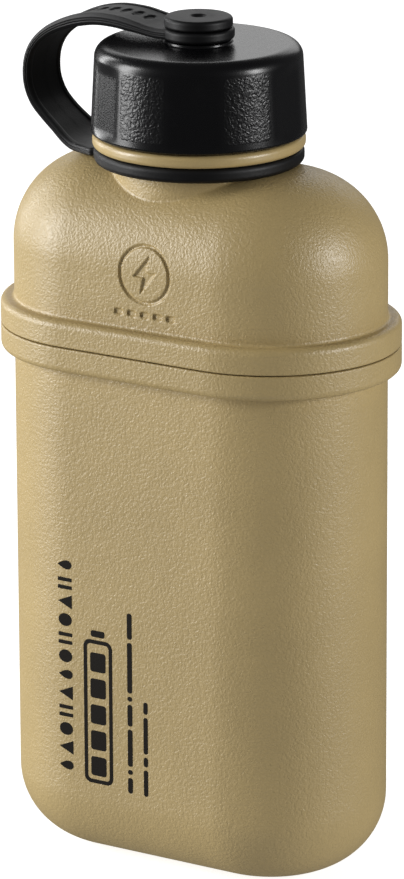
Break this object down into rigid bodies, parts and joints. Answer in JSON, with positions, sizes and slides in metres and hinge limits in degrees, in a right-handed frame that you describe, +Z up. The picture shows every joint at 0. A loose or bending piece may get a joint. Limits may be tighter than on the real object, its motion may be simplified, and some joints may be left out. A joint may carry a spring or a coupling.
{
  "type": "outdoor power bank",
  "caption": "Canteen-shaped waterproof power bank: a rounded two-part case with a raised bead, and a screw cap over the sockets that is held by a rubber strap.",
  "frame": {"origin": "centre of the flat base", "axes": "+Z up along the neck, -Y out of the front face, strap towards -X"},
  "size_m": [0.0674, 0.0412, 0.1368],
  "materials": {
    "shell_plastic": "fine leather-grain moulded plastic",
    "cap_plastic": "satin black moulded plastic, grained side panels",
    "inner_plastic": "plain moulded plastic",
    "cradle_plastic": "plain moulded plastic",
    "strap_rubber": "smooth flexible rubber",
    "seal_rubber": "soft silicone",
    "case_seal_rubber": "soft silicone",
    "foam": "closed-cell foam",
    "cell_can": "shrink-wrapped cell can",
    "insulator_paper": "insulating card",
    "nickel": "nickel strip",
    "lead_red": "lead insulation",
    "lead_black": "lead insulation",
    "board": "solder-masked board",
    "ferrite": "moulded ferrite",
    "chip_plastic": "chip packages",
    "capacitor_ceramic": "ceramic bodies",
    "screw_steel": "plain",
    "socket_steel": "bright folded sheet",
    "tongue_plastic": "plain",
    "led_lens": "clear light guides",
    "led_package": "plain",
    "switch_metal": "plain",
    "button_rubber": "soft silicone"
  },
  "bodies": {
    "body": {"lower_shell": "shell_plastic", "upper_shell": "shell_plastic", "neck_collar": "shell_plastic", "case_seal": "case_seal_rubber", "base_pad": "foam", "cell_cradle_base": "cradle_plastic", "cell_cradle_top": "cradle_plastic", "cell_left": "cell_can", "cell_right": "cell_can", "cell_insulators": "insulator_paper", "cell_strip_bottom": "nickel", "cell_strip_top": "nickel", "lead_positive": "lead_red", "lead_negative": "lead_black", "shock_pads": "foam", "main_board": "board", "power_inductor": "ferrite", "board_chips": "chip_plastic", "board_capacitors": "capacitor_ceramic", "board_screws": "screw_steel", "usb_a_shell": "socket_steel", "usb_a_tongue": "tongue_plastic", "usb_c_shell": "socket_steel", "usb_c_tongue": "tongue_plastic", "port_face": "inner_plastic", "ui_board": "board", "status_leds": "led_package", "light_guides": "led_lens", "button_switch": "switch_metal", "strap_ring": "strap_rubber"},
    "strap": {"strap_band": "strap_rubber", "strap_eye": "strap_rubber"},
    "cap": {"cap": "cap_plastic", "cap_liner": "inner_plastic", "cap_seal": "seal_rubber", "strap_rivet": "strap_rubber"},
    "power_button": {"power_button": "button_rubber"}
  },
  "joints": [
    {"name": "cap_lift", "type": "slide", "parent": "body", "child": "strap", "axis": [0, 0, 1], "range_m": [0, 0.012]},
    {"name": "cap_turn", "type": "hinge", "parent": "strap", "child": "cap", "pos_m": [0, 0, 0.1257], "axis": [0, 0, 1], "range_deg": [0, 720]},
    {"name": "button_press", "type": "slide", "parent": "body", "child": "power_button", "axis": [0, 0, -1], "range_m": [0, 0.0005], "stiffness_N_per_m": 2000}
  ],
  "couplings": [
    {"joint": "cap_lift", "follows": "cap_turn", "m_per_rad": 0.00095493}
  ]
}
